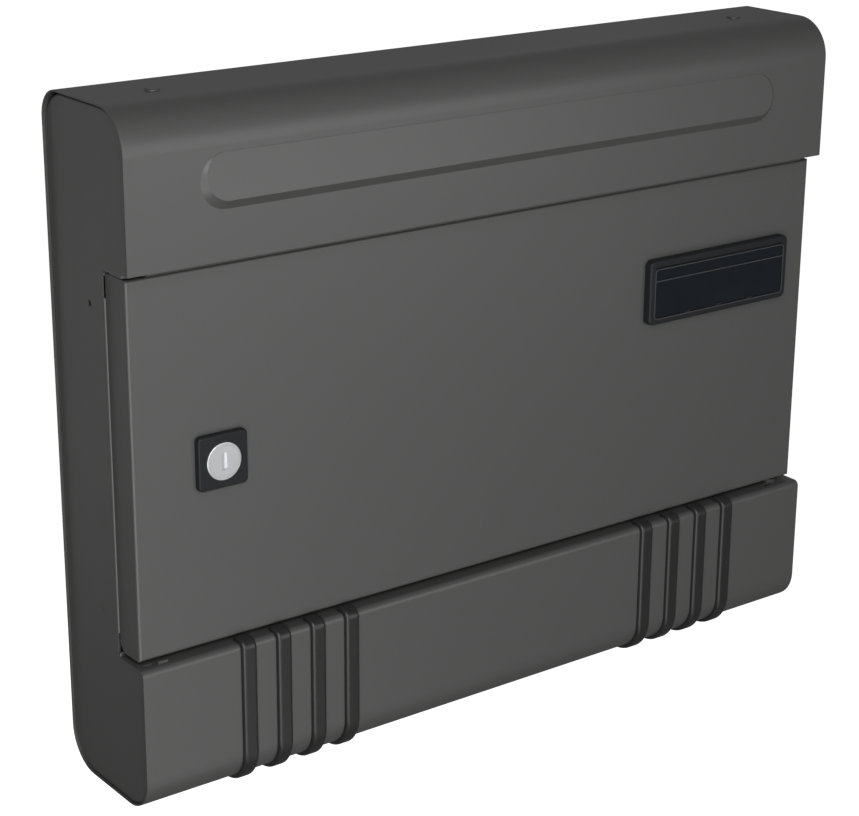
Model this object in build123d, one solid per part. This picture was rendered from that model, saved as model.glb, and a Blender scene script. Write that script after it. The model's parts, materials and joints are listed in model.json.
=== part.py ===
from build123d import *
import os
from math import cos, hypot, radians, sin, tan

# Wall mounted mailbox, millimetres.
# Origin: centre of the wall screw pattern on the back face. -Y is the front, +Z is up.

# ---- overall case ----
WIDTH = 415.0
HEIGHT = 327.5
DEPTH = 71.4
SHEET = 0.8
TOP = HEIGHT / 2
BOTTOM = -HEIGHT / 2
HALF = WIDTH / 2

# ---- outer bend radii of the wrap ----
R_BACK_TOP = 13.4
R_FRONT_TOP = 19.7
R_BACK_BOTTOM = 19.0
R_FRONT_BOTTOM = 17.2
R_LEDGE = 3.0
R_LEDGE_LIP = 2.0

# ---- levels of the doorway ----
HOOD_LOW = 92.9
LEDGE_TOP = -90.8
LEDGE_BACK = -46.0
LEDGE_LIP = 8.0

# ---- flap hinge along the rear top bend ----
HINGE_ANGLE = 48.0
ROD_R = 1.2
ROD_BORE_R = 1.26
KNUCKLE_R = ROD_BORE_R + SHEET
KNUCKLE_SPAN = 390.0
KNUCKLE_COUNT = 9
KNUCKLE_GAP = 0.5
KNUCKLE_RELIEF = 8.0
EAR_REACH = 5.8
EAR_GAP = 0.3
ROD_LENGTH = 394.0
BEND_Y = -R_BACK_TOP
BEND_Z = TOP - R_BACK_TOP
AXIS_REACH = R_BACK_TOP - KNUCKLE_R
ROD_Y = BEND_Y + AXIS_REACH * cos(radians(HINGE_ANGLE))
ROD_Z = BEND_Z + AXIS_REACH * sin(radians(HINGE_ANGLE))

# ---- raised grip band on the hood ----
BAND_LENGTH = 341.2
BAND_HEIGHT = 25.1
BAND_Z = 128.5
BAND_TAPER = 50.0
BAND_REACH = 6.0
BAND_TOP_STEP = 0.1
BAND_LOW_STEP = 4.4

# ---- flap stiffener and its rivets ----
RIVET_X = 173.0
RIVET_Y = -37.0
RIVET_HEAD_R = 3.5
RIVET_HEAD_H = 0.9
RIVET_SHANK_R = 1.6
RIVET_TAIL_R = 2.8
RIVET_TAIL_H = 1.2
STIFF_LENGTH = 366.0
STIFF_WIDTH = 22.0
STIFF_HEIGHT = 6.0

# ---- side panels ----
PANEL_INSET = 1.0
PANEL_FLANGE = 8.0
PANEL_EDGE_R = 1.1
FLAP_GAP = 0.6
PANEL_BACK_R = 16.0
PANEL_DOOR_TOP = 90.6
PANEL_CORNER_R = 2.0
LEDGE_END_BACK = -50.6
STILE_FACE = -47.9
STILE_RELIEF = 0.9
STILE_FLANGE = 12.0
STILE_TOP = 78.4
STILE_LOW = -80.0
HINGE_CLEAR_Y = -26.0
HINGE_CLEAR_Z = 135.0
MARK_Y = -34.5
MARK_Z = 73.2
MARK_R = 1.5

# ---- lintel over the door ----
LINTEL_TOP = 92.5
LINTEL_T = 1.8
LINTEL_NOTCH_GAP = 0.3
LINTEL_BACK = -46.0
LINTEL_FRONT = -68.8
LINTEL_END_BACK = -53.6
LINTEL_END_FRONT = -63.6
LINTEL_LIP_UP = 14.0
LINTEL_LIP_DOWN = 7.0
LINTEL_BODY_HALF = 196.5
BUFFER_R = 4.0
BUFFER_T = 1.2
BUFFER_X = 150.0

# ---- wall screw pattern ----
SCREW_PITCH_X = 300.0
SCREW_PITCH_Z = 190.0
SCREW_HOLE_R = 3.0

# ---- door ----
DOOR_FACE = -65.2
DOOR_HALF = 205.7
DOOR_TOP = 89.9
DOOR_LOW = -88.5
DOOR_EDGE_R = 1.4
LATCH_FLANGE_BACK = -48.3
DOOR_FLANGE_BACK = -54.4
DOOR_CORNER_LOW_R = 5.0
DOOR_CORNER_TOP_R = 2.0

# ---- door hinge ----
PIN_X = 195.0
PIN_Y = -60.3
PIN_R = 2.0
PIN_BORE_R = 2.05
PIN_HEAD_R = 3.3
PIN_HEAD_T = 1.4
PIN_INTO_DOOR = 7.0
LUG_SIZE = 8.0
LUG_LENGTH = 14.0
LUG_T = 3.0
WASHER_R = 4.6
WASHER_T = 1.8
TOP_WASHER_T = 0.5
SLOT_X = 189.5
SLOT_Y = -65.2
SLOT_LENGTH = 5.0
SLOT_HEIGHT = 2.4
REST_X = -194.5
REST_Y = -66.3
REST_LENGTH = 5.0
REST_WIDTH = 1.6
REST_T = 1.2
OVAL_X = -201.5

# ---- lock ----
LOCK_X = -160.8
LOCK_Z = 0.0
PLATE_SIZE = 26.0
PLATE_T = 3.2
PLATE_CORNER_R = 2.4
PLATE_BEVEL = 1.1
LOCK_HEAD_R = 9.0
LOCK_HEAD_T = 1.6
LOCK_HEAD_PROUD = 0.8
LOCK_BARREL_R = 8.0
LOCK_BARREL_FLAT = 7.0
LOCK_BACK = -48.2
PLUG_FACE_R = 7.6
PLUG_FACE_BORE_R = 7.66
PLUG_R = 5.0
PLUG_BORE_R = 5.06
PLUG_FACE_T = 1.2
KEYWAY_HEIGHT = 8.4
KEYWAY_WIDTH = 2.6
KEYWAY_DEPTH = 12.0
SHUTTER_T = 0.8
NUT_R = 11.0
NUT_T = 3.0
CAM_FRONT = -46.0
CAM_T = 1.6
CAM_WIDTH = 14.0
CAM_REACH = 36.5
TANG_SIZE = 5.0
TANG_BORE = 5.1
CAM_WASHER_R = 5.0
CAM_WASHER_T = 0.8
CAM_SCREW_R = 1.5
CAM_SCREW_HEAD_R = 3.2
CAM_SCREW_HEAD_T = 1.8
CAM_SCREW_LENGTH = 6.0

# ---- nameplate ----
NAME_X = 140.8
NAME_Z = 35.2
NAME_LENGTH = 97.0
NAME_HEIGHT = 34.0
NAME_T = 4.6
NAME_CORNER_R = 3.2
NAME_BEVEL = 1.2
NAME_OPEN_LENGTH = 90.0
NAME_OPEN_HEIGHT = 27.0
NAME_POCKET = 2.2
WINDOW_T = 1.4
CARD_T = 0.4
CLIP_PITCH = 22.0
CLIP_LENGTH = 4.0
CLIP_DROP = 2.2
PEG_PITCH = 70.0
PEG_R = 1.5
PEG_LENGTH = 5.0
PEG_HOLE_R = 1.7
PUSH_NUT_R = 4.5
PUSH_NUT_T = 0.6

# ---- bumper strips ----
STRIP_FIRST_X = 94.2
STRIP_PITCH = 19.3
STRIP_COUNT = 4
STRIP_WIDTH = 8.0
STRIP_T = 2.2
STRIP_TOP_BACK = -65.2
STRIP_LOW_BACK = -40.0
STRIP_EDGE_R = 1.7

# ---- ledge brackets ----
BRACKET_T = 1.2
BRACKET_WIDTH = 12.0
BRACKET_LEG = 24.0

os.makedirs("parts", exist_ok=True)


def rounded_path(points, radii):
    """Edges through the points with every inner corner rounded by its radius."""
    edges = []
    start = Vector(*points[0])
    for before, corner, after, radius in zip(points, points[1:], points[2:], radii):
        tip = Vector(*corner)
        back = (Vector(*before) - tip).normalized()
        ahead = (Vector(*after) - tip).normalized()
        half_turn = radians(back.get_angle(ahead)) / 2
        reach = radius / tan(half_turn)
        bisector = (back + ahead).normalized()
        middle = tip + bisector * (radius / sin(half_turn) - radius)
        arc_start = tip + back * reach
        arc_end = tip + ahead * reach
        edges.append(Edge.make_line(start, arc_start))
        edges.append(Edge.make_three_point_arc(arc_start, middle, arc_end))
        start = arc_end
    edges.append(Edge.make_line(start, Vector(*points[-1])))
    return edges


def inset_points(points, amount):
    """The open path moved to its left hand side by the amount."""
    moved = []
    normals = []
    for first, second in zip(points, points[1:]):
        du = second[0] - first[0]
        dv = second[1] - first[1]
        size = hypot(du, dv)
        normals.append((-dv / size, du / size))
    for index, (u, v) in enumerate(points):
        n0 = normals[max(index - 1, 0)]
        n1 = normals[min(index, len(normals) - 1)]
        scale = amount / (1 + n0[0] * n1[0] + n0[1] * n1[1])
        moved.append((u + (n0[0] + n1[0]) * scale, v + (n0[1] + n1[1]) * scale))
    return moved


def sheet_face(points, radii, thickness):
    """Side profile of a bent sheet whose outer face follows the points."""
    outer = rounded_path(points, radii)
    inner_radii = [radius - thickness for radius in radii]
    inner = rounded_path(inset_points(points, thickness), inner_radii)
    first_cap = Edge.make_line(outer[0] @ 0, inner[0] @ 0)
    last_cap = Edge.make_line(outer[-1] @ 1, inner[-1] @ 1)
    return Plane.YZ * make_face(Wire(outer + [last_cap] + inner + [first_cap]))


def closed_face(points, radii):
    """Side outline of a plate, every corner rounded."""
    first_mid = ((points[0][0] + points[-1][0]) / 2, (points[0][1] + points[-1][1]) / 2)
    return Plane.YZ * make_face(Wire(rounded_path([first_mid] + points + [first_mid], radii)))


def along_x(face, x_from, x_to):
    return Pos(x_from, 0, 0) * extrude(face, amount=x_to - x_from, dir=(1, 0, 0))


def bend_band(angle_from, angle_to, x_from, x_to):
    """Piece of the rear top bend between two angles measured up from the back."""
    centre = Pos(BEND_Y, BEND_Z)
    ring = centre * Circle(R_BACK_TOP) - centre * Circle(R_BACK_TOP - SHEET)
    reach = 2 * R_BACK_TOP
    wedge = Polygon(
        (0, 0),
        (reach * cos(radians(angle_from)), reach * sin(radians(angle_from))),
        (reach * cos(radians(angle_to)), reach * sin(radians(angle_to))),
        align=None,
    )
    return along_x(Plane.YZ * (ring & centre * wedge), x_from, x_to)


def rod_cylinder(radius, x_from, x_to):
    middle = (x_from + x_to) / 2
    return Pos(middle, ROD_Y, ROD_Z) * Rot(0, 90, 0) * Cylinder(radius, x_to - x_from)


def knuckle_spans(first):
    """X ranges of every second knuckle, starting from the given one."""
    step = KNUCKLE_SPAN / KNUCKLE_COUNT
    start = -KNUCKLE_SPAN / 2
    spans = []
    for index in range(first, KNUCKLE_COUNT, 2):
        spans.append((start + index * step + KNUCKLE_GAP / 2, start + (index + 1) * step - KNUCKLE_GAP / 2))
    return spans


def box_between(x_from, x_to, y_from, y_to, z_from, z_to):
    size = (x_to - x_from, y_to - y_from, z_to - z_from)
    centre = ((x_from + x_to) / 2, (y_from + y_to) / 2, (z_from + z_to) / 2)
    return Pos(*centre) * Box(*size)


def disc_y(radius, x, z, y_from, y_to):
    """Round bar along Y between two depths."""
    return Pos(x, (y_from + y_to) / 2, z) * Rot(90, 0, 0) * Cylinder(radius, y_to - y_from)


def disc_z(radius, x, y, z_from, z_to):
    return Pos(x, y, (z_from + z_to) / 2) * Cylinder(radius, z_to - z_from)


def disc_x(radius, y, z, x_from, x_to):
    return Pos((x_from + x_to) / 2, y, z) * Rot(0, 90, 0) * Cylinder(radius, x_to - x_from)


# ---------------------------------------------------------------- case
def make_shell():
    """Ledge, lower front, bottom and back in one bent sheet with its hinge knuckles."""
    points = [
        (LEDGE_BACK, LEDGE_TOP - LEDGE_LIP),
        (LEDGE_BACK, LEDGE_TOP),
        (-DEPTH, LEDGE_TOP),
        (-DEPTH, BOTTOM),
        (0, BOTTOM),
        (0, BEND_Z),
    ]
    radii = [R_LEDGE_LIP, R_LEDGE, R_FRONT_BOTTOM, R_BACK_BOTTOM]
    shell = along_x(sheet_face(points, radii, SHEET), -HALF, HALF)
    clear_edge = HINGE_ANGLE - KNUCKLE_RELIEF
    inner = KNUCKLE_SPAN / 2 + KNUCKLE_GAP
    shell += bend_band(0, clear_edge, -inner, inner)
    for side in (-1, 1):
        low, high = sorted((side * inner, side * HALF))
        shell += bend_band(0, HINGE_ANGLE, low, high)
        shell += bend_band(HINGE_ANGLE, 90, low, high) & rod_cylinder(EAR_REACH, low, high)
    for x_from, x_to in knuckle_spans(0):
        shell += bend_band(clear_edge, HINGE_ANGLE, x_from, x_to)
        shell += rod_cylinder(KNUCKLE_R, x_from, x_to)
    shell -= rod_cylinder(ROD_BORE_R, -HALF, HALF)
    for x in (-SCREW_PITCH_X / 2, SCREW_PITCH_X / 2):
        for z in (-SCREW_PITCH_Z / 2, SCREW_PITCH_Z / 2):
            shell -= disc_y(SCREW_HOLE_R, x, z, -2 * SHEET, SHEET)
    ledge_cut = (LEDGE_TOP - 2 * SHEET, LEDGE_TOP + SHEET)
    shell -= disc_z(PIN_R, PIN_X, PIN_Y, *ledge_cut)
    shell -= box_between(
        SLOT_X - SLOT_LENGTH / 2,
        SLOT_X + SLOT_LENGTH / 2,
        SLOT_Y - SLOT_HEIGHT / 2,
        SLOT_Y + SLOT_HEIGHT / 2,
        *ledge_cut,
    )
    oval = Pos(OVAL_X, SLOT_Y, LEDGE_TOP) * extrude(SlotOverall(SLOT_LENGTH, SLOT_HEIGHT), SHEET, both=True)
    shell -= oval
    end_width = PANEL_INSET + PANEL_FLANGE
    for x in (-HALF, HALF - end_width):
        shell -= box_between(
            x, x + end_width, LEDGE_END_BACK, LEDGE_BACK + SHEET, LEDGE_TOP - 2 * LEDGE_LIP, LEDGE_TOP + SHEET
        )
    return shell


def panel_outline():
    """Side panel corners and radii, held inside the wrap and clear of the flap."""
    back = -SHEET
    low = BOTTOM + SHEET
    top = TOP - SHEET - FLAP_GAP
    hood_front = -DEPTH + SHEET + FLAP_GAP
    box_front = -DEPTH + SHEET
    ledge = LEDGE_TOP - SHEET
    points = [
        (back, low),
        (back, top),
        (hood_front, top),
        (hood_front, PANEL_DOOR_TOP),
        (STILE_FACE, PANEL_DOOR_TOP),
        (STILE_FACE, ledge),
        (box_front, ledge),
        (box_front, low),
    ]
    radii = [
        R_BACK_BOTTOM - SHEET,
        PANEL_BACK_R,
        R_FRONT_TOP - SHEET - FLAP_GAP,
        PANEL_CORNER_R,
        PANEL_CORNER_R,
        PANEL_CORNER_R,
        R_LEDGE - SHEET,
        R_FRONT_BOTTOM - SHEET,
    ]
    return points, radii


def make_right_panel():
    points, radii = panel_outline()
    outline = closed_face(points, radii)
    outer_x = HALF - PANEL_INSET
    panel = along_x(outline, outer_x - PANEL_FLANGE, outer_x)
    rim = panel.faces().sort_by(Axis.X)[-1].outer_wire().edges()
    panel = fillet(rim, PANEL_EDGE_R)
    hollow = offset(outline, -SHEET)
    panel -= along_x(hollow, outer_x - 2 * PANEL_FLANGE, outer_x - SHEET)
    panel += box_between(
        outer_x - STILE_FLANGE, outer_x - SHEET, STILE_FACE, STILE_FACE + SHEET, STILE_LOW, STILE_TOP
    )
    relief_back = STILE_FACE + STILE_RELIEF
    panel -= box_between(
        outer_x - PANEL_FLANGE, outer_x, STILE_FACE, relief_back, STILE_TOP, PANEL_DOOR_TOP - PANEL_CORNER_R
    )
    panel -= box_between(
        outer_x - PANEL_FLANGE, outer_x, STILE_FACE, relief_back, LEDGE_TOP, STILE_LOW
    )
    panel -= box_between(
        outer_x - PANEL_FLANGE, outer_x - SHEET, HINGE_CLEAR_Y, 0, HINGE_CLEAR_Z, TOP
    )
    panel -= box_between(
        outer_x - 2 * PANEL_FLANGE, outer_x, -DEPTH, LINTEL_END_BACK + LINTEL_NOTCH_GAP, LEDGE_TOP + SHEET, LINTEL_TOP
    )
    for z in (-MARK_Z, MARK_Z):
        panel -= disc_x(MARK_R, MARK_Y, z, outer_x - PANEL_FLANGE, outer_x + SHEET)
    return panel


def make_lintel():
    """Rail over the doorway: shelf, raised front lip and lowered rear lip."""
    top = LINTEL_TOP
    low = top - LINTEL_T
    body = LINTEL_BODY_HALF
    points = [
        (LINTEL_FRONT, top + LINTEL_LIP_UP),
        (LINTEL_FRONT, low),
        (LINTEL_BACK, low),
    ]
    rail = along_x(sheet_face(points, [PANEL_CORNER_R], LINTEL_T), -body, body)
    rear_z = top - LINTEL_LIP_DOWN
    rail += box_between(-body, body, LINTEL_BACK - LINTEL_T, LINTEL_BACK, rear_z, top)
    end_x = HALF - PANEL_INSET
    for side in (-1, 1):
        low_x, high_x = sorted((side * (body - LINTEL_T), side * end_x))
        tongue = box_between(low_x, high_x, LINTEL_END_FRONT, LINTEL_END_BACK, low, top)
        rail += fillet(tongue.edges().filter_by(Axis.X).group_by(Axis.Y)[-1], LINTEL_T * 0.4)
    rail -= disc_z(PIN_R, PIN_X, PIN_Y, low - LINTEL_T, top + LINTEL_T)
    return rail


def make_strips(side):
    """Four moulded strips that wrap the lower box from the ledge to the bottom."""
    points = [
        (STRIP_TOP_BACK, LEDGE_TOP + STRIP_T),
        (-DEPTH - STRIP_T, LEDGE_TOP + STRIP_T),
        (-DEPTH - STRIP_T, BOTTOM - STRIP_T),
        (STRIP_LOW_BACK, BOTTOM - STRIP_T),
    ]
    radii = [R_LEDGE + STRIP_T, R_FRONT_BOTTOM + STRIP_T]
    profile = sheet_face(points, radii, STRIP_T)
    blank = along_x(profile, -STRIP_WIDTH / 2, STRIP_WIDTH / 2)
    crown = []
    for edge in blank.edges():
        centre = edge.center()
        on_side = abs(abs(centre.X) - STRIP_WIDTH / 2) < SHEET / 2
        proud = is_proud(edge @ 0) and is_proud(edge @ 1)
        if on_side and proud:
            crown.append(edge)
    strip = fillet(crown, STRIP_EDGE_R)
    strips = []
    for index in range(STRIP_COUNT):
        strips.append(Pos(side * (STRIP_FIRST_X + index * STRIP_PITCH), 0, 0) * strip)
    return Compound(children=strips)


def is_proud(point):
    """True for points on the outer face of a strip."""
    reach = STRIP_T * 0.9
    above = point.Z > LEDGE_TOP + reach
    ahead = point.Y < -DEPTH - reach
    below = point.Z < BOTTOM - reach
    return above or ahead or below


def make_rod():
    return rod_cylinder(ROD_R, -ROD_LENGTH / 2, ROD_LENGTH / 2)


def make_lower_pin():
    under = LEDGE_TOP - SHEET
    pin = disc_z(PIN_R, PIN_X, PIN_Y, under, DOOR_LOW + PIN_INTO_DOOR)
    pin += disc_z(PIN_HEAD_R, PIN_X, PIN_Y, under - PIN_HEAD_T, under)
    return fillet(pin.edges().sort_by(Axis.Z)[0], PIN_HEAD_T / 2)


def make_upper_pin():
    pin = disc_z(PIN_R, PIN_X, PIN_Y, DOOR_TOP - PIN_INTO_DOOR, LINTEL_TOP)
    pin += disc_z(PIN_HEAD_R, PIN_X, PIN_Y, LINTEL_TOP, LINTEL_TOP + PIN_HEAD_T)
    return fillet(pin.edges().sort_by(Axis.Z)[-1], PIN_HEAD_T / 2)


def make_washers():
    low = disc_z(WASHER_R, PIN_X, PIN_Y, LEDGE_TOP, LEDGE_TOP + WASHER_T)
    low -= disc_z(PIN_BORE_R, PIN_X, PIN_Y, LEDGE_TOP, LEDGE_TOP + WASHER_T)
    under = LINTEL_TOP - LINTEL_T
    high = disc_z(WASHER_R, PIN_X, PIN_Y, under - TOP_WASHER_T, under)
    high -= disc_z(PIN_BORE_R, PIN_X, PIN_Y, under - TOP_WASHER_T, under)
    return Compound(children=[low, high])


def make_door_rest():
    rest = box_between(
        REST_X - REST_LENGTH / 2,
        REST_X + REST_LENGTH / 2,
        REST_Y - REST_WIDTH / 2,
        REST_Y + REST_WIDTH / 2,
        LEDGE_TOP,
        LEDGE_TOP + REST_T,
    )
    return fillet(rest.edges().group_by(Axis.Z)[-1], REST_WIDTH / 4)


def make_buffers():
    pads = []
    mid_z = LINTEL_TOP + LINTEL_LIP_UP / 2
    for x in (-BUFFER_X, BUFFER_X):
        pad = disc_y(BUFFER_R, x, mid_z, LINTEL_FRONT - BUFFER_T, LINTEL_FRONT)
        pads.append(fillet(pad.edges().sort_by(Axis.Y)[0], BUFFER_T / 3))
    return Compound(children=pads)


def make_brackets():
    """Angles that tie each side panel to the lip of the ledge."""
    brackets = []
    plate_x = HALF - PANEL_INSET - SHEET
    for side in (-1, 1):
        low_x, high_x = sorted((side * (plate_x - BRACKET_T), side * plate_x))
        low_z = LEDGE_TOP - LEDGE_LIP
        leg_y = LEDGE_BACK + BRACKET_LEG - BRACKET_T
        leg = box_between(low_x, high_x, LEDGE_BACK, leg_y, low_z, -MARK_Z + BRACKET_WIDTH / 2)
        foot_in = plate_x - PANEL_FLANGE - BRACKET_WIDTH
        foot_low, foot_high = sorted((side * foot_in, side * plate_x))
        foot = box_between(foot_low, foot_high, LEDGE_BACK, LEDGE_BACK + BRACKET_T, low_z, LEDGE_TOP - R_LEDGE_LIP)
        rivet_hole = disc_x(MARK_R, MARK_Y, -MARK_Z, low_x, high_x)
        brackets.append(leg + foot - rivet_hole)
    return Compound(children=brackets)


def make_side_rivets():
    rivets = []
    for side in (-1, 1):
        face_x = HALF - PANEL_INSET - SHEET / 4
        tail_x = HALF - PANEL_INSET - SHEET - BRACKET_T
        low_x, high_x = sorted((side * tail_x, side * face_x))
        shank = disc_x(MARK_R, MARK_Y, -MARK_Z, low_x, high_x)
        tail_low, tail_high = sorted((side * (tail_x - RIVET_TAIL_H), side * tail_x))
        rivets.append(shank + disc_x(RIVET_TAIL_R, MARK_Y, -MARK_Z, tail_low, tail_high))
    return Compound(children=rivets)


# ---------------------------------------------------------------- flap
def band_solid(length, height, inset):
    """Raised grip band: a drafted stadium cut to a face that leans out at the bottom."""
    front = -DEPTH + inset
    base = Plane(origin=(0, front, BAND_Z), x_dir=(1, 0, 0), z_dir=(0, -1, 0))
    stadium = extrude(base * SlotOverall(length, height), amount=BAND_REACH, taper=BAND_TAPER)
    high = BAND_Z + BAND_HEIGHT / 2
    low = BAND_Z - BAND_HEIGHT / 2
    lean = Polygon(
        (front, high),
        (front - BAND_TOP_STEP, high),
        (front - BAND_LOW_STEP, low),
        (front, low),
        align=None,
    )
    return stadium & along_x(Plane.YZ * lean, -HALF, HALF)


def make_flap():
    """Hood sheet: part of the rear bend, top, front bend and front, with knuckles and grip band."""
    points = [
        (BEND_Y, TOP),
        (-DEPTH, TOP),
        (-DEPTH, HOOD_LOW),
    ]
    flap = along_x(sheet_face(points, [R_FRONT_TOP], SHEET), -HALF, HALF)
    clear_edge = HINGE_ANGLE + KNUCKLE_RELIEF
    inner = KNUCKLE_SPAN / 2 + KNUCKLE_GAP
    flap += bend_band(clear_edge, 90, -inner, inner)
    for side in (-1, 1):
        low, high = sorted((side * inner, side * HALF))
        flap += bend_band(HINGE_ANGLE, 90, low, high) - rod_cylinder(EAR_REACH + EAR_GAP, low, high)
    for x_from, x_to in knuckle_spans(1):
        flap += bend_band(HINGE_ANGLE, clear_edge, x_from, x_to)
        flap += rod_cylinder(KNUCKLE_R, x_from, x_to)
    flap -= rod_cylinder(ROD_BORE_R, -HALF, HALF)
    flap += band_solid(BAND_LENGTH, BAND_HEIGHT, 0)
    flap -= band_solid(BAND_LENGTH - SHEET, BAND_HEIGHT - SHEET, SHEET)
    for x in (-RIVET_X, RIVET_X):
        flap -= disc_z(RIVET_SHANK_R, x, RIVET_Y, TOP - 2 * SHEET, TOP + SHEET)
    return flap


def make_stiffener():
    """Shallow channel under the top of the hood."""
    top = TOP - SHEET
    front = RIVET_Y - STIFF_WIDTH / 2
    back = RIVET_Y + STIFF_WIDTH / 2
    points = [
        (back, top - STIFF_HEIGHT),
        (back, top),
        (front, top),
        (front, top - STIFF_HEIGHT),
    ]
    radii = [R_LEDGE_LIP, R_LEDGE_LIP]
    channel = along_x(sheet_face(points, radii, SHEET), -STIFF_LENGTH / 2, STIFF_LENGTH / 2)
    for x in (-RIVET_X, RIVET_X):
        channel -= disc_z(RIVET_SHANK_R, x, RIVET_Y, top - 2 * SHEET, top + SHEET)
    return channel


def make_flap_rivets():
    rivets = []
    under = TOP - 2 * SHEET
    for x in (-RIVET_X, RIVET_X):
        rivet = disc_z(RIVET_SHANK_R, x, RIVET_Y, under, TOP)
        head = disc_z(RIVET_HEAD_R, x, RIVET_Y, TOP, TOP + RIVET_HEAD_H)
        head = fillet(head.edges().sort_by(Axis.Z)[-1], RIVET_HEAD_H * 0.9)
        rivet += head
        rivet += disc_z(RIVET_TAIL_R, x, RIVET_Y, under - RIVET_TAIL_H, under)
        rivets.append(rivet)
    return Compound(children=rivets)


# ---------------------------------------------------------------- door
def make_door():
    """Folded tray: deep flange on the latch side, shallow flanges elsewhere."""
    tray = box_between(-DOOR_HALF, DOOR_HALF, DOOR_FACE, LATCH_FLANGE_BACK, DOOR_LOW, DOOR_TOP)
    tray = fillet(tray.faces().sort_by(Axis.Y)[0].edges(), DOOR_EDGE_R)
    tray -= box_between(
        -DOOR_HALF + SHEET,
        DOOR_HALF - SHEET,
        DOOR_FACE + SHEET,
        0,
        DOOR_LOW + SHEET,
        DOOR_TOP - SHEET,
    )
    tray -= box_between(
        -DOOR_HALF + SHEET, HALF, DOOR_FLANGE_BACK, 0, DOOR_LOW - SHEET, DOOR_TOP + SHEET
    )
    latch_corners = tray.edges().filter_by(Axis.X).group_by(Axis.Y)[-1].sort_by(Axis.Z)
    tray = fillet(latch_corners[0], DOOR_CORNER_LOW_R)
    latch_corners = tray.edges().filter_by(Axis.X).group_by(Axis.Y)[-1].sort_by(Axis.Z)
    tray = fillet(latch_corners[-1], DOOR_CORNER_TOP_R)
    tray -= disc_z(PIN_BORE_R, PIN_X, PIN_Y, DOOR_LOW - SHEET, DOOR_TOP + SHEET)
    barrel = disc_y(LOCK_BARREL_R, LOCK_X, LOCK_Z, DOOR_FACE - SHEET, DOOR_FACE + 2 * SHEET)
    flats = box_between(
        LOCK_X - LOCK_BARREL_FLAT,
        LOCK_X + LOCK_BARREL_FLAT,
        DOOR_FACE - SHEET,
        DOOR_FACE + 2 * SHEET,
        LOCK_Z - LOCK_BARREL_R,
        LOCK_Z + LOCK_BARREL_R,
    )
    tray -= barrel & flats
    for x in (NAME_X - PEG_PITCH / 2, NAME_X + PEG_PITCH / 2):
        tray -= disc_y(PEG_HOLE_R, x, NAME_Z, DOOR_FACE - SHEET, DOOR_FACE + 2 * SHEET)
    return tray


def make_lug(z_from, z_to):
    """Reinforcing block for a hinge pin inside the door tray."""
    front = DOOR_FACE + SHEET
    block = box_between(
        PIN_X - LUG_LENGTH / 2, PIN_X + LUG_LENGTH / 2, front, front + LUG_SIZE, z_from, z_to
    )
    block = fillet(block.edges().filter_by(Axis.Z).group_by(Axis.Y)[-1], LUG_SIZE / 4)
    return block - disc_z(PIN_BORE_R, PIN_X, PIN_Y, z_from, z_to)


def make_lock_plate():
    """Square moulded plate around the lock."""
    back = Plane(origin=(LOCK_X, DOOR_FACE, LOCK_Z), x_dir=(1, 0, 0), z_dir=(0, -1, 0))
    plate = extrude(back * RectangleRounded(PLATE_SIZE, PLATE_SIZE, PLATE_CORNER_R), amount=PLATE_T)
    plate = fillet(plate.faces().sort_by(Axis.Y)[0].edges(), PLATE_BEVEL)
    seat = DOOR_FACE - PLATE_T + LOCK_HEAD_T - LOCK_HEAD_PROUD
    plate -= disc_y(LOCK_HEAD_R, LOCK_X, LOCK_Z, DOOR_FACE - 2 * PLATE_T, seat)
    plate -= disc_y(LOCK_BARREL_R, LOCK_X, LOCK_Z, DOOR_FACE - 2 * PLATE_T, DOOR_FACE + SHEET)
    return plate


def lock_front():
    return DOOR_FACE - PLATE_T - LOCK_HEAD_PROUD


def make_lock_housing():
    front = lock_front()
    head = disc_y(LOCK_HEAD_R, LOCK_X, LOCK_Z, front, front + LOCK_HEAD_T)
    head = fillet(head.edges().sort_by(Axis.Y)[0], LOCK_HEAD_PROUD / 2)
    barrel = disc_y(LOCK_BARREL_R, LOCK_X, LOCK_Z, front + LOCK_HEAD_T, LOCK_BACK)
    barrel &= box_between(
        LOCK_X - LOCK_BARREL_FLAT,
        LOCK_X + LOCK_BARREL_FLAT,
        front,
        LOCK_BACK,
        LOCK_Z - LOCK_BARREL_R,
        LOCK_Z + LOCK_BARREL_R,
    )
    housing = head + barrel
    housing -= disc_y(PLUG_FACE_BORE_R, LOCK_X, LOCK_Z, front, front + PLUG_FACE_T)
    return housing - disc_y(PLUG_BORE_R, LOCK_X, LOCK_Z, front, LOCK_BACK)


def make_lock_nut():
    inner = DOOR_FACE + SHEET
    back = Plane(origin=(LOCK_X, inner, LOCK_Z), x_dir=(1, 0, 0), z_dir=(0, 1, 0))
    nut = extrude(back * RegularPolygon(NUT_R, 6), amount=NUT_T)
    bore = disc_y(LOCK_BARREL_R, LOCK_X, LOCK_Z, inner, inner + NUT_T)
    return nut - bore


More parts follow.
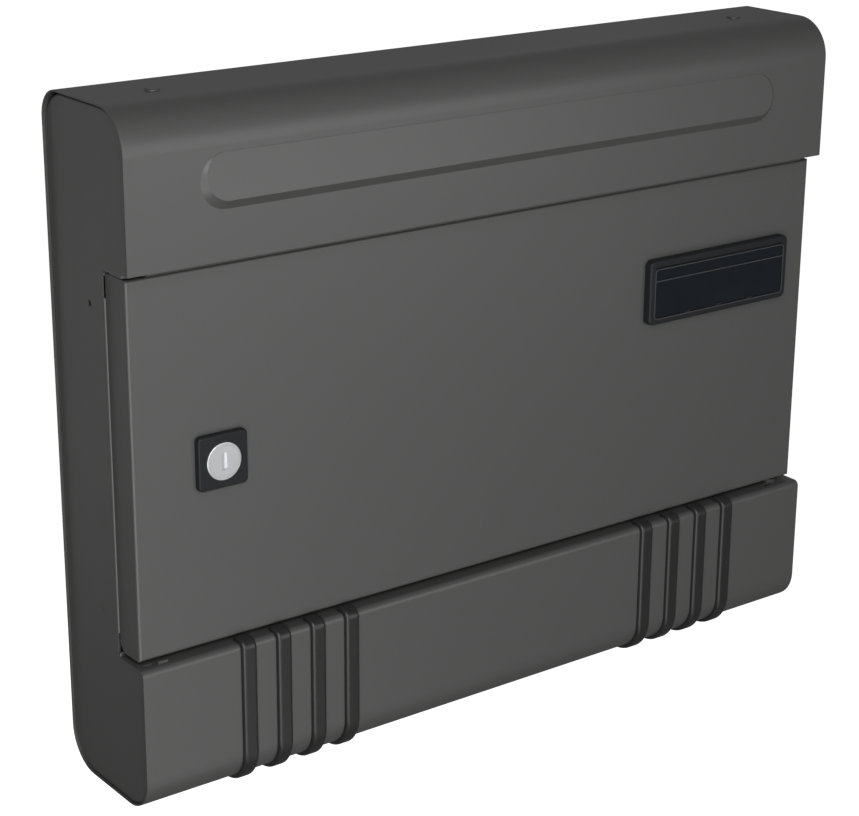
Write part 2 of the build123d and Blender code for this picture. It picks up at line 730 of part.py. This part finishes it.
def make_plug():
    """Rotating core: round face, shaft and square tang for the cam."""
    front = lock_front()
    plug = disc_y(PLUG_FACE_R, LOCK_X, LOCK_Z, front, front + PLUG_FACE_T)
    plug += disc_y(PLUG_R, LOCK_X, LOCK_Z, front + PLUG_FACE_T, CAM_FRONT)
    plug += box_between(
        LOCK_X - TANG_SIZE / 2,
        LOCK_X + TANG_SIZE / 2,
        CAM_FRONT,
        CAM_FRONT + CAM_T,
        LOCK_Z - TANG_SIZE / 2,
        LOCK_Z + TANG_SIZE / 2,
    )
    plug -= box_between(
        LOCK_X - KEYWAY_WIDTH / 2,
        LOCK_X + KEYWAY_WIDTH / 2,
        front,
        front + KEYWAY_DEPTH,
        LOCK_Z - KEYWAY_HEIGHT / 2,
        LOCK_Z + KEYWAY_HEIGHT / 2,
    )
    screw_from = CAM_FRONT + CAM_T - CAM_SCREW_LENGTH
    return plug - disc_y(CAM_SCREW_R, LOCK_X, LOCK_Z, screw_from, CAM_FRONT + CAM_T)


def make_shutter():
    """Spring dust shutter across the key slot, just inside the face."""
    front = lock_front() + PLUG_FACE_T
    return box_between(
        LOCK_X - KEYWAY_WIDTH / 2,
        LOCK_X + KEYWAY_WIDTH / 2,
        front,
        front + SHUTTER_T,
        LOCK_Z - KEYWAY_HEIGHT / 2,
        LOCK_Z + KEYWAY_HEIGHT / 2,
    )


def make_cam():
    """Locking cam, pointing up when the door is unlocked."""
    front = Plane(origin=(LOCK_X, CAM_FRONT, LOCK_Z), x_dir=(1, 0, 0), z_dir=(0, 1, 0))
    length = CAM_REACH + CAM_WIDTH / 2
    shift = -(CAM_REACH - CAM_WIDTH / 2) / 2
    blade = extrude(front * Pos(0, shift) * Rot(0, 0, 90) * SlotOverall(length, CAM_WIDTH), amount=CAM_T)
    tang = box_between(
        LOCK_X - TANG_BORE / 2,
        LOCK_X + TANG_BORE / 2,
        CAM_FRONT,
        CAM_FRONT + CAM_T,
        LOCK_Z - TANG_BORE / 2,
        LOCK_Z + TANG_BORE / 2,
    )
    return blade - tang


def make_cam_washer():
    back = CAM_FRONT + CAM_T
    washer = disc_y(CAM_WASHER_R, LOCK_X, LOCK_Z, back, back + CAM_WASHER_T)
    return washer - disc_y(CAM_SCREW_R, LOCK_X, LOCK_Z, back, back + CAM_WASHER_T)


def make_cam_screw():
    back = CAM_FRONT + CAM_T + CAM_WASHER_T
    head = disc_y(CAM_SCREW_HEAD_R, LOCK_X, LOCK_Z, back, back + CAM_SCREW_HEAD_T)
    head = fillet(head.edges().sort_by(Axis.Y)[-1], CAM_SCREW_HEAD_T / 2)
    shank_from = CAM_FRONT + CAM_T - CAM_SCREW_LENGTH
    screw = head + disc_y(CAM_SCREW_R, LOCK_X, LOCK_Z, shank_from, back)
    slot = box_between(
        LOCK_X - CAM_SCREW_HEAD_R,
        LOCK_X + CAM_SCREW_HEAD_R,
        back + CAM_SCREW_HEAD_T / 2,
        back + CAM_SCREW_HEAD_T,
        LOCK_Z - CAM_SCREW_R / 4,
        LOCK_Z + CAM_SCREW_R / 4,
    )
    return screw - slot


def name_plane(y):
    return Plane(origin=(NAME_X, y, NAME_Z), x_dir=(1, 0, 0), z_dir=(0, -1, 0))


def make_name_frame():
    """Moulded holder with a pocket for the card and its clear window."""
    outline = RectangleRounded(NAME_LENGTH, NAME_HEIGHT, NAME_CORNER_R)
    frame = extrude(name_plane(DOOR_FACE) * outline, amount=NAME_T)
    frame = fillet(frame.faces().sort_by(Axis.Y)[0].edges(), NAME_BEVEL)
    front = DOOR_FACE - NAME_T
    pocket = RectangleRounded(NAME_OPEN_LENGTH, NAME_OPEN_HEIGHT, NAME_CORNER_R / 2)
    frame -= extrude(name_plane(front + NAME_POCKET) * pocket, amount=NAME_T)
    window_low = NAME_Z - NAME_OPEN_HEIGHT / 2
    for index in (-1, 0, 1):
        x = NAME_X + index * CLIP_PITCH
        frame += box_between(
            x - CLIP_LENGTH / 2,
            x + CLIP_LENGTH / 2,
            front,
            front + NAME_POCKET - WINDOW_T - CARD_T,
            window_low - CLIP_DROP / 2,
            window_low + CLIP_DROP / 2,
        )
    for x in (NAME_X - PEG_PITCH / 2, NAME_X + PEG_PITCH / 2):
        frame += disc_y(PEG_R, x, NAME_Z, DOOR_FACE, DOOR_FACE + PEG_LENGTH)
    return frame


def make_card():
    front = DOOR_FACE - NAME_T + NAME_POCKET
    card = Rectangle(NAME_OPEN_LENGTH - NAME_BEVEL, NAME_OPEN_HEIGHT - NAME_BEVEL)
    return extrude(name_plane(front) * card, amount=CARD_T)


def make_window():
    front = DOOR_FACE - NAME_T + NAME_POCKET - CARD_T
    window = RectangleRounded(NAME_OPEN_LENGTH - CARD_T, NAME_OPEN_HEIGHT - CARD_T, NAME_CORNER_R / 2)
    return extrude(name_plane(front) * window, amount=WINDOW_T)


def make_push_nuts():
    nuts = []
    inner = DOOR_FACE + SHEET
    for x in (NAME_X - PEG_PITCH / 2, NAME_X + PEG_PITCH / 2):
        nut = disc_y(PUSH_NUT_R, x, NAME_Z, inner, inner + PUSH_NUT_T)
        nuts.append(nut - disc_y(PEG_R, x, NAME_Z, inner, inner + PUSH_NUT_T))
    return Compound(children=nuts)


right_panel = make_right_panel()
nodes = {
    "case_shell": make_shell(),
    "side_panel_right": right_panel,
    "side_panel_left": mirror(right_panel, about=Plane.YZ),
    "door_lintel": make_lintel(),
    "hinge_rod": make_rod(),
    "door_pin_lower": make_lower_pin(),
    "door_pin_upper": make_upper_pin(),
    "door_washers": make_washers(),
    "door_rest": make_door_rest(),
    "bumper_strips_left": make_strips(-1),
    "bumper_strips_right": make_strips(1),
    "flap_buffers": make_buffers(),
    "ledge_brackets": make_brackets(),
    "side_rivets": make_side_rivets(),
    "flap_hood": make_flap(),
    "flap_stiffener": make_stiffener(),
    "flap_rivets": make_flap_rivets(),
    "door_panel": make_door(),
    "door_lug_lower": make_lug(DOOR_LOW + SHEET, DOOR_LOW + SHEET + LUG_T),
    "door_lug_upper": make_lug(DOOR_TOP - SHEET - LUG_T, DOOR_TOP - SHEET),
    "lock_plate": make_lock_plate(),
    "lock_housing": make_lock_housing(),
    "lock_nut": make_lock_nut(),
    "nameplate_frame": make_name_frame(),
    "nameplate_window": make_window(),
    "name_card": make_card(),
    "nameplate_push_nuts": make_push_nuts(),
    "lock_plug": make_plug(),
    "keyhole_shutter": make_shutter(),
    "lock_cam": make_cam(),
    "cam_washer": make_cam_washer(),
    "cam_screw": make_cam_screw(),
}
for name, shape in nodes.items():
    export_step(shape, f"parts/{name}.step")
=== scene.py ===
import json
from math import cos, radians, sin

import bmesh
import bpy
from mathutils import Matrix, Vector


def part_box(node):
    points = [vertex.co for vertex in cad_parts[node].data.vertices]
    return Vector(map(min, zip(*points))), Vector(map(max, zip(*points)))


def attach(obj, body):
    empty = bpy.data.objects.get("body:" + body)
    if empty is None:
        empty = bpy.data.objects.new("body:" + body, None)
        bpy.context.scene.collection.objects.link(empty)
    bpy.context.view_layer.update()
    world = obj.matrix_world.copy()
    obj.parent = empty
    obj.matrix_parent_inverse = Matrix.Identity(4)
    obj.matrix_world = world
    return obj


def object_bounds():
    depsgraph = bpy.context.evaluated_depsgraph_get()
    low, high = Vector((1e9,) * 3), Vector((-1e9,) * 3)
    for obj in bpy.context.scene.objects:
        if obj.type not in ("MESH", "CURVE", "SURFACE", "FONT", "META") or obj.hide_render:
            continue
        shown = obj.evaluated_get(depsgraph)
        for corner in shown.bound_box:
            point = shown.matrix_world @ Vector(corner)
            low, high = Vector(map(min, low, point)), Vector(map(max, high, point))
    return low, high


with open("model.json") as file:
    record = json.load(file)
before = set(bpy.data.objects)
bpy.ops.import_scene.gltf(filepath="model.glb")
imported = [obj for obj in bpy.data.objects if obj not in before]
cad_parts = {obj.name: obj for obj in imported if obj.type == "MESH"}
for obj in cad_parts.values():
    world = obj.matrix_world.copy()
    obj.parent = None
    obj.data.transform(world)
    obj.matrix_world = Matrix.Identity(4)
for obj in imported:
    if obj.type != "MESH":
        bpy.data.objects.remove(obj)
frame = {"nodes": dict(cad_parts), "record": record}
nodes = frame["nodes"]
cad_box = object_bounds()

MM = 0.001

# ---------------------------------------------------------------- camera
CAMERA_AZIMUTH = radians(-36.860)
CAMERA_ELEVATION = radians(19.110)
CAMERA_ROLL = radians(0.3996)
CAMERA_DISTANCE = 1.10731
CAMERA_TARGET = Vector((-0.01612, -0.02990, -0.01655))
CAMERA_LENS = 92.763
CAMERA_SHIFT_X = -0.00184
CAMERA_SHIFT_Y = 0.00384


def make_camera():
    ahead = Vector((
        -sin(CAMERA_AZIMUTH) * cos(CAMERA_ELEVATION),
        cos(CAMERA_AZIMUTH) * cos(CAMERA_ELEVATION),
        -sin(CAMERA_ELEVATION),
    ))
    data = bpy.data.cameras.new("camera")
    data.lens = CAMERA_LENS
    data.shift_x = CAMERA_SHIFT_X
    data.shift_y = CAMERA_SHIFT_Y
    data.clip_end = 200.0
    cam = bpy.data.objects.new("camera", data)
    turn = ahead.to_track_quat("-Z", "Y").to_matrix() @ Matrix.Rotation(CAMERA_ROLL, 3, "Z")
    cam.matrix_world = Matrix.Translation(CAMERA_TARGET - ahead * CAMERA_DISTANCE) @ turn.to_4x4()
    bpy.context.scene.collection.objects.link(cam)
    bpy.context.scene.camera = cam


make_camera()


# ---------------------------------------------------------------- studio
FLOOR_DROP = 1.0
FLOOR_SIZE = 60.0
FLOOR_GLOW = 0.98
WORLD_LIGHT = 0.12
# azimuth (0 = straight ahead, + = viewer's right), elevation, distance, size, power
LAMPS = {
    "key": (-30, 30, 1.2, 0.8, 11.3),
    "low_left": (-36, -14, 1.2, 0.8, 8.0),
    "right": (22, 6, 1.2, 0.6, 3.2),
    "under": (0, -32, 1.2, 0.8, 2.2),
    "rear_right": (150, 30, 2.5, 1.4, 1.2),
    "rear_side": (120, 30, 2.5, 1.4, 0.8),
    "rear": (180, -12, 2.5, 1.4, 14.0),
}


def area_light(name, azimuth, elevation, distance, size, power):
    data = bpy.data.lights.new(name, "AREA")
    data.shape = "SQUARE"
    data.size = size
    data.energy = power
    lamp = bpy.data.objects.new(name, data)
    turn = radians(azimuth)
    lift = radians(elevation)
    place = Vector((sin(turn) * cos(lift), -cos(turn) * cos(lift), sin(lift))) * distance
    lamp.matrix_world = Matrix.Translation(place) @ (-place).to_track_quat("-Z", "Y").to_matrix().to_4x4()
    bpy.context.scene.collection.objects.link(lamp)
    return lamp


def make_studio():
    low, high = cad_box
    mesh = bpy.data.meshes.new("floor")
    half = FLOOR_SIZE / 2
    z = low[2] - FLOOR_DROP
    mesh.from_pydata([(-half, -half, z), (half, -half, z), (half, half, z), (-half, half, z)], [], [(0, 1, 2, 3)])
    floor = bpy.data.objects.new("floor", mesh)
    bpy.context.scene.collection.objects.link(floor)
    mat = bpy.data.materials.new("floor")
    mat.use_nodes = True
    bsdf = mat.node_tree.nodes["Principled BSDF"]
    bsdf.inputs["Base Color"].default_value = (0.6, 0.6, 0.6, 1)
    bsdf.inputs["Roughness"].default_value = 0.9
    bsdf.inputs["Emission Color"].default_value = (1, 1, 1, 1)
    bsdf.inputs["Emission Strength"].default_value = FLOOR_GLOW
    mesh.materials.append(mat)
    floor.visible_diffuse = False
    floor.visible_glossy = False
    world = bpy.data.worlds.new("studio")
    world.use_nodes = True
    back = world.node_tree.nodes["Background"]
    back.inputs["Color"].default_value = (1, 1, 1, 1)
    back.inputs["Strength"].default_value = WORLD_LIGHT
    bpy.context.scene.world = world
    bpy.context.scene.view_settings.view_transform = "Standard"
    for name, (azimuth, elevation, distance, size, power) in LAMPS.items():
        area_light(name, azimuth, elevation, distance, size, power)


make_studio()


# ---------------------------------------------------------------- materials
def surface(name, colour, rough, metal=0.0, grain=None, bump=0.0, mottle=0.0, rough_mottle=0.0, stretch=(1, 1, 1),
            coat=0.0, specular=0.5):
    """Principled surface with object-space noise for relief, tone and roughness."""
    mat = bpy.data.materials.new(name)
    mat.use_nodes = True
    tree = mat.node_tree
    bsdf = tree.nodes["Principled BSDF"]
    bsdf.inputs["Base Color"].default_value = (*colour, 1)
    bsdf.inputs["Roughness"].default_value = rough
    bsdf.inputs["Metallic"].default_value = metal
    bsdf.inputs["Coat Weight"].default_value = coat
    bsdf.inputs["Specular IOR Level"].default_value = specular
    if grain is None:
        return mat
    place = tree.nodes.new("ShaderNodeTexCoord")
    scale = tree.nodes.new("ShaderNodeMapping")
    scale.inputs["Scale"].default_value = stretch
    tree.links.new(place.outputs["Object"], scale.inputs["Vector"])
    fine = tree.nodes.new("ShaderNodeTexNoise")
    fine.inputs["Scale"].default_value = grain
    fine.inputs["Detail"].default_value = 3.0
    tree.links.new(scale.outputs["Vector"], fine.inputs["Vector"])
    if bump:
        relief = tree.nodes.new("ShaderNodeBump")
        relief.inputs["Strength"].default_value = 1.0
        relief.inputs["Distance"].default_value = bump
        tree.links.new(fine.outputs["Fac"], relief.inputs["Height"])
        tree.links.new(relief.outputs["Normal"], bsdf.inputs["Normal"])
    if mottle:
        tone = tree.nodes.new("ShaderNodeMix")
        tone.data_type = "RGBA"
        tone.inputs["A"].default_value = (*[c * (1 - mottle) for c in colour], 1)
        tone.inputs["B"].default_value = (*[c * (1 + mottle) for c in colour], 1)
        tree.links.new(fine.outputs["Fac"], tone.inputs["Factor"])
        tree.links.new(tone.outputs["Result"], bsdf.inputs["Base Color"])
    if rough_mottle:
        spread = tree.nodes.new("ShaderNodeMapRange")
        spread.inputs["To Min"].default_value = rough - rough_mottle
        spread.inputs["To Max"].default_value = rough + rough_mottle
        tree.links.new(fine.outputs["Fac"], spread.inputs["Value"])
        tree.links.new(spread.outputs["Result"], bsdf.inputs["Roughness"])
    return mat


PAINT_COLOUR = (0.0490, 0.0498, 0.0484)
LOCK_RINGS = 2600.0


def turned_metal():
    """Nickel plate with fine rings round the lock axis."""
    mat = surface("lock_metal", (0.60, 0.61, 0.62), 0.42, 1.0)
    tree = mat.node_tree
    bsdf = tree.nodes["Principled BSDF"]
    low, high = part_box("lock_housing")
    centre = (Vector(low) + Vector(high)) / 2
    place = tree.nodes.new("ShaderNodeTexCoord")
    shift = tree.nodes.new("ShaderNodeMapping")
    shift.inputs["Location"].default_value = (-centre[0], 0.0, -centre[2])
    tree.links.new(place.outputs["Object"], shift.inputs["Vector"])
    flat = tree.nodes.new("ShaderNodeVectorMath")
    flat.operation = "MULTIPLY"
    flat.inputs[1].default_value = (1, 0, 1)
    tree.links.new(shift.outputs["Vector"], flat.inputs[0])
    radius = tree.nodes.new("ShaderNodeVectorMath")
    radius.operation = "LENGTH"
    tree.links.new(flat.outputs["Vector"], radius.inputs[0])
    ring = tree.nodes.new("ShaderNodeTexNoise")
    ring.noise_dimensions = "1D"
    ring.inputs["Scale"].default_value = LOCK_RINGS
    tree.links.new(radius.outputs["Value"], ring.inputs["W"])
    relief = tree.nodes.new("ShaderNodeBump")
    relief.inputs["Distance"].default_value = 0.02 * MM
    tree.links.new(ring.outputs["Fac"], relief.inputs["Height"])
    tree.links.new(relief.outputs["Normal"], bsdf.inputs["Normal"])
    return mat


look = {
    "paint": surface("paint", PAINT_COLOUR, 0.41, grain=1500.0, bump=0.02 * MM, mottle=0.10, rough_mottle=0.03),
    "zinc_steel": surface("zinc_steel", (0.55, 0.56, 0.58), 0.34, 1.0, grain=900.0, bump=0.01 * MM, mottle=0.12,
                          rough_mottle=0.08, stretch=(0.1, 1, 1)),
    "lock_metal": turned_metal(),
    "strip_plastic": surface("strip_plastic", (0.014, 0.014, 0.0145), 0.33, grain=420.0, bump=0.01 * MM, mottle=0.2,
                             rough_mottle=0.04, specular=0.35),
    "black_plastic": surface("black_plastic", (0.012, 0.0125, 0.014), 0.42, grain=1300.0, bump=0.012 * MM,
                             mottle=0.15, rough_mottle=0.05, specular=0.14),
    "clear_plastic": surface("clear_plastic", (0.008, 0.0095, 0.012), 0.12, grain=60.0, bump=0.01 * MM, mottle=0.2,
                             rough_mottle=0.03, specular=0.10),
    "card": surface("card", (0.010, 0.011, 0.013), 0.7, grain=1600.0, bump=0.02 * MM, mottle=0.2),
    "rubber": surface("rubber", (0.010, 0.010, 0.010), 0.75, grain=1200.0, bump=0.02 * MM, mottle=0.2),
    "nylon": surface("nylon", (0.025, 0.025, 0.026), 0.5, grain=1200.0, bump=0.01 * MM, mottle=0.2),
}


def dress():
    for part in frame["record"]["subparts"]:
        obj = nodes[part["node"]]
        obj.data.materials.clear()
        obj.data.materials.append(look[part["material_slot"]])


# ---------------------------------------------------------------- nameplate cover
COVER_INSET = 3.0 * MM
COVER_TOP_INSET = 4.5 * MM
COVER_PROUD = 0.35 * MM
COVER_LINE = 0.45 * MM
COVER_CORNER_R = 2.0 * MM
COVER_SPLIT = 0.24
CORNER_STEPS = 6


def rounded_ring(x0, x1, z0, z1, radius):
    """Corner points of a rounded rectangle, anticlockwise seen from the front."""
    points = []
    centres = (
        (x1 - radius, z1 - radius, 0.0),
        (x0 + radius, z1 - radius, 90.0),
        (x0 + radius, z0 + radius, 180.0),
        (x1 - radius, z0 + radius, 270.0),
    )
    for x, z, start in centres:
        for step in range(CORNER_STEPS + 1):
            turn = radians(start + 90.0 * step / CORNER_STEPS)
            points.append((x + radius * cos(turn), z + radius * sin(turn)))
    return points


def make_cover_lines():
    """Fine raised edge and dividing rib of the clear cover over the nameplate."""
    low, high = (Vector(c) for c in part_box("nameplate_frame"))
    x0, x1 = low[0] + COVER_INSET, high[0] - COVER_INSET
    z0, z1 = low[2] + COVER_INSET, high[2] - COVER_TOP_INSET
    front = low[1] - COVER_PROUD
    back = low[1] + COVER_PROUD
    mesh = bmesh.new()
    outer = rounded_ring(x0, x1, z0, z1, COVER_CORNER_R)
    inner = rounded_ring(x0 + COVER_LINE, x1 - COVER_LINE, z0 + COVER_LINE, z1 - COVER_LINE,
                         COVER_CORNER_R - COVER_LINE)
    rows = []
    for ring, y in ((outer, back), (outer, front), (inner, front), (inner, back)):
        rows.append([mesh.verts.new((x, y, z)) for x, z in ring])
    count = len(outer)
    for a, b in zip(rows, rows[1:] + rows[:1]):
        for i in range(count):
            j = (i + 1) % count
            mesh.faces.new((a[i], a[j], b[j], b[i]))
    split = z1 - (z1 - z0) * COVER_SPLIT
    bar_x = (x0 + COVER_LINE * 0.5, x1 - COVER_LINE * 0.5)
    bar_y = (front + COVER_LINE * 0.1, back)
    bar_z = (split - COVER_LINE / 2, split + COVER_LINE / 2)
    corners = {}
    for i in (0, 1):
        for j in (0, 1):
            for k in (0, 1):
                corners[i, j, k] = mesh.verts.new((bar_x[i], bar_y[j], bar_z[k]))
    for axis in range(3):
        for side in (0, 1):
            loop = []
            for a, b in ((0, 0), (1, 0), (1, 1), (0, 1)):
                key = [a, b]
                key.insert(axis, side)
                loop.append(corners[tuple(key)])
            mesh.faces.new(loop)
    bmesh.ops.recalc_face_normals(mesh, faces=mesh.faces)
    data = bpy.data.meshes.new("nameplate_cover_lines")
    mesh.to_mesh(data)
    mesh.free()
    piece = bpy.data.objects.new("nameplate_cover_lines", data)
    bpy.context.scene.collection.objects.link(piece)
    data.materials.append(surface("cover_edge", (0.036, 0.039, 0.041), 0.35, grain=900.0, bump=0.01 * MM,
                                  mottle=0.2, rough_mottle=0.04))
    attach(piece, "door")


dress()
make_cover_lines()
